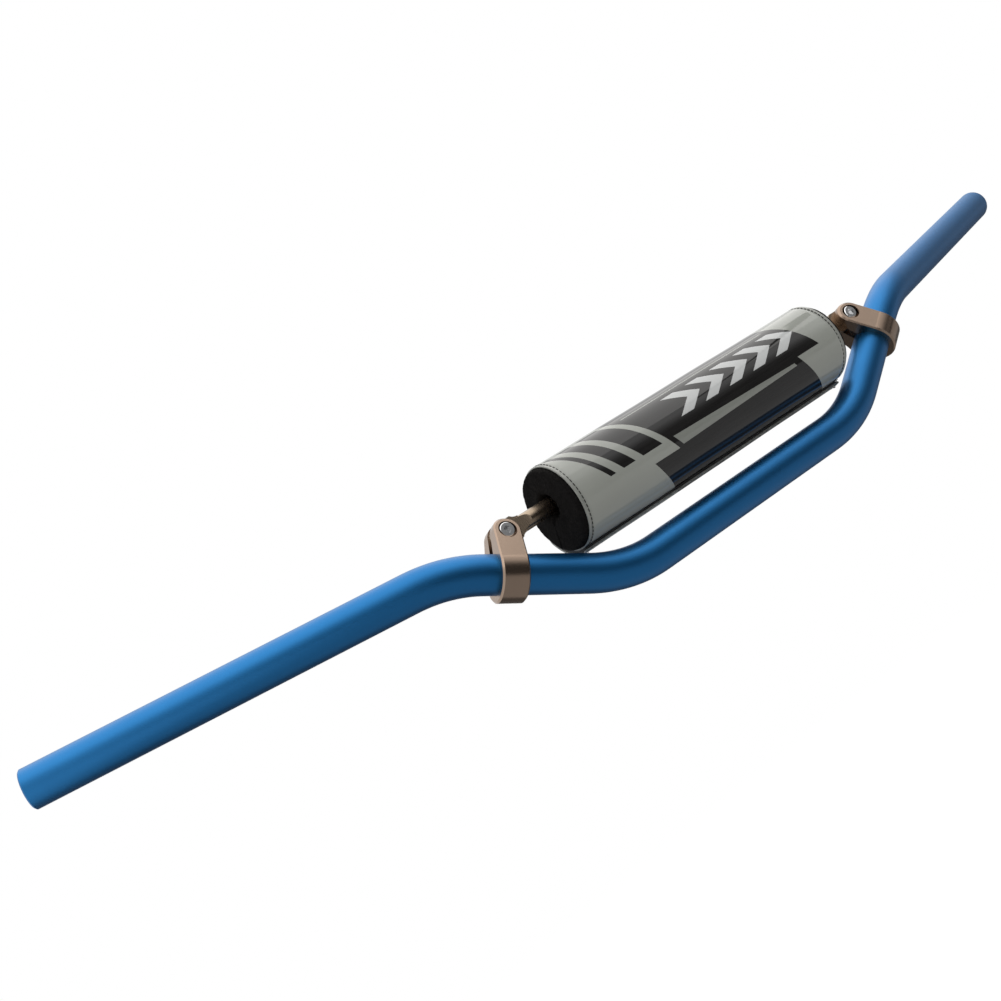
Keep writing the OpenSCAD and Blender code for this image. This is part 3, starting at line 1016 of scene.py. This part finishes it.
def bare_material(name):
    """A material with an empty tree, and its Kit."""
    material = bpy.data.materials.new(name)
    material.use_nodes = True
    kit = Kit(material.node_tree)
    kit.tree.nodes.clear()
    return material, kit


def flat_piece(name, corners, material):
    mesh = bpy.data.meshes.new(name)
    mesh.from_pydata(corners, [], [tuple(range(i, i + 4)) for i in range(0, len(corners), 4)])
    mesh.materials.append(material)
    piece = bpy.data.objects.new(name, mesh)
    bpy.context.scene.collection.objects.link(piece)
    return piece


def make_floor():
    """Near the bar, half of what the eye sees of it is lit by the lamps, so the shadow stays."""
    material, kit = bare_material("pale_floor")
    dim = kit.add("ShaderNodeBsdfDiffuse", None, {"Color": (0.50, 0.50, 0.50)})
    pale = kit.add("ShaderNodeBsdfDiffuse", None, {"Color": (0.55, 0.55, 0.55)})
    glow = kit.add("ShaderNodeEmission", None, {"Color": (1, 1, 1), "Strength": 0.62})
    both = kit.add("ShaderNodeAddShader", None, {0: Wire(kit, pale.outputs[0]), 1: Wire(kit, glow.outputs[0])})
    white = kit.add("ShaderNodeEmission", None, {"Color": (1, 1, 1), "Strength": 1.0})
    away = kit.out("ShaderNodeVectorMath", {"operation": "LENGTH"}, {0: kit.place()}, "Value")
    far = kit.out("ShaderNodeMapRange", {"interpolation_type": "SMOOTHSTEP"}, {0: away, 1: 0.45, 2: 1.2})
    eyed = kit.add("ShaderNodeMixShader", None, {0: far, 1: Wire(kit, both.outputs[0]), 2: Wire(kit, white.outputs[0])})
    mix = kit.add("ShaderNodeMixShader", None, {
        0: white_to_the_eye(kit), 1: Wire(kit, dim.outputs[0]), 2: Wire(kit, eyed.outputs[0])})
    end = kit.add("ShaderNodeOutputMaterial", None, {"Surface": Wire(kit, mix.outputs[0])})
    wide = 6.0
    flat_piece("studio_floor", [(-wide, -wide, FLOOR_Z), (wide, -wide, FLOOR_Z), (wide, wide, FLOOR_Z),
                                (-wide, wide, FLOOR_Z)], material)
    print("floor ends in", end.name)


def make_world():
    world = bpy.data.worlds.new("white_room")
    bpy.context.scene.world = world
    world.use_nodes = True
    kit = Kit(world.node_tree)
    kit.tree.nodes.clear()
    level = white_to_the_eye(kit) * (1 - ROOM_LEVEL) + ROOM_LEVEL
    glow = kit.add("ShaderNodeBackground", None, {"Color": (1, 1, 1), "Strength": level})
    kit.add("ShaderNodeOutputWorld", None, {"Surface": Wire(kit, glow.outputs[0])})


def make_softbox():
    data = bpy.data.lights.new("overhead_softbox", "AREA")
    data.shape = "RECTANGLE"
    data.size, data.size_y = SOFTBOX_WIDE, SOFTBOX_DEEP
    data.energy = math.pi * SOFTBOX_WIDE * SOFTBOX_DEEP * SOFTBOX_LEVEL
    data.color = SOFTBOX_TINT
    light = bpy.data.objects.new("overhead_softbox", data)
    bpy.context.scene.collection.objects.link(light)
    light.location = (-0.1, 0.25, SOFTBOX_Z)


make_floor()
make_world()
make_softbox()

# %% Tent of grey cards
TENT_HALF = 2.2
TENT_FRONT = 1.6
TENT_TOP = 1.3
TENT_FLOOR = FLOOR_Z + 0.01
TABLE_BACK, TABLE_EDGE = -0.15, 0.45
FRONT_ENDS_AT, TABLE_ENDS_AT = 1.10, 0.55
TABLE_GREY, SIDE_GREY, FRONT_GREY, BACK_GREY = 0.44, 0.30, 0.06, 0.12
FRONT_DARK_TO, FRONT_LIGHT_FROM = 0.10, 1.05
ARM_FROM, ARM_TO, ARM_WIDE = Vector((-1.12, 0.1, 1.15)), Vector((-1.86, 3.0, 1.15)), 0.06


def grey_card(name, corners, low, high=None):
    """A card that only mirrors see. With high given, it grows lighter from low to high upwards."""
    material, kit = bare_material(name)
    strength = low
    if high is not None:
        height = kit.add("ShaderNodeSeparateXYZ", None, {0: kit.place()})
        strength = kit.out("ShaderNodeMapRange", {"interpolation_type": "SMOOTHSTEP"},
                           {0: Wire(kit, height.outputs[2]), 1: FRONT_DARK_TO, 2: FRONT_LIGHT_FROM, 3: low, 4: high})
    glow = kit.add("ShaderNodeEmission", None, {"Color": (1, 1, 1), "Strength": strength})
    kit.add("ShaderNodeOutputMaterial", None, {"Surface": Wire(kit, glow.outputs[0])})
    card = flat_piece(name, corners, material)
    card.visible_camera = False
    card.visible_diffuse = False
    card.visible_transmission = False
    card.visible_shadow = False


def wall(at, way_x, way_y, low, high):
    """Corners of an upright card through a point, as wide as way says on each side."""
    side = Vector((way_x, way_y, 0))
    foot, head = Vector((*at, low)), Vector((*at, high))
    return [foot - side, foot + side, head + side, head - side]


def level_card(name, y_from, y_to, grey):
    """A card that lies on the floor from one Y to another."""
    grey_card(name, [(-TENT_HALF, y_from, TENT_FLOOR), (TABLE_ENDS_AT, y_from, TENT_FLOOR),
                     (TABLE_ENDS_AT, y_to, TENT_FLOOR), (-TENT_HALF, y_to, TENT_FLOOR)], grey)


level_card("card_behind_table", -TENT_HALF, TABLE_BACK, BACK_GREY)
level_card("card_table", TABLE_BACK, TABLE_EDGE, TABLE_GREY)
level_card("card_before_table", TABLE_EDGE, TENT_FRONT, FRONT_GREY)
middle_x = (FRONT_ENDS_AT - TENT_HALF) / 2
grey_card("card_front", wall((middle_x, TENT_FRONT), FRONT_ENDS_AT - middle_x, 0, TENT_FLOOR, TENT_TOP), FRONT_GREY, 1.0)
grey_card("card_left", wall((-TENT_HALF, 0), 0, TENT_FRONT, TENT_FLOOR, TENT_TOP), SIDE_GREY, 0.6)
across = (ARM_TO - ARM_FROM).cross(Vector((0, 0, 1))).normalized() * ARM_WIDE / 2
grey_card("card_lamp_arm", [ARM_FROM - across, ARM_FROM + across, ARM_TO + across, ARM_TO - across], FRONT_GREY)

# %% [markdown]
# Last, the view layer is brought up to date. The dressed one may stand proud only by the thickness
# of cloth and fibres.

# %% Update the view layer
bpy.context.view_layer.update()
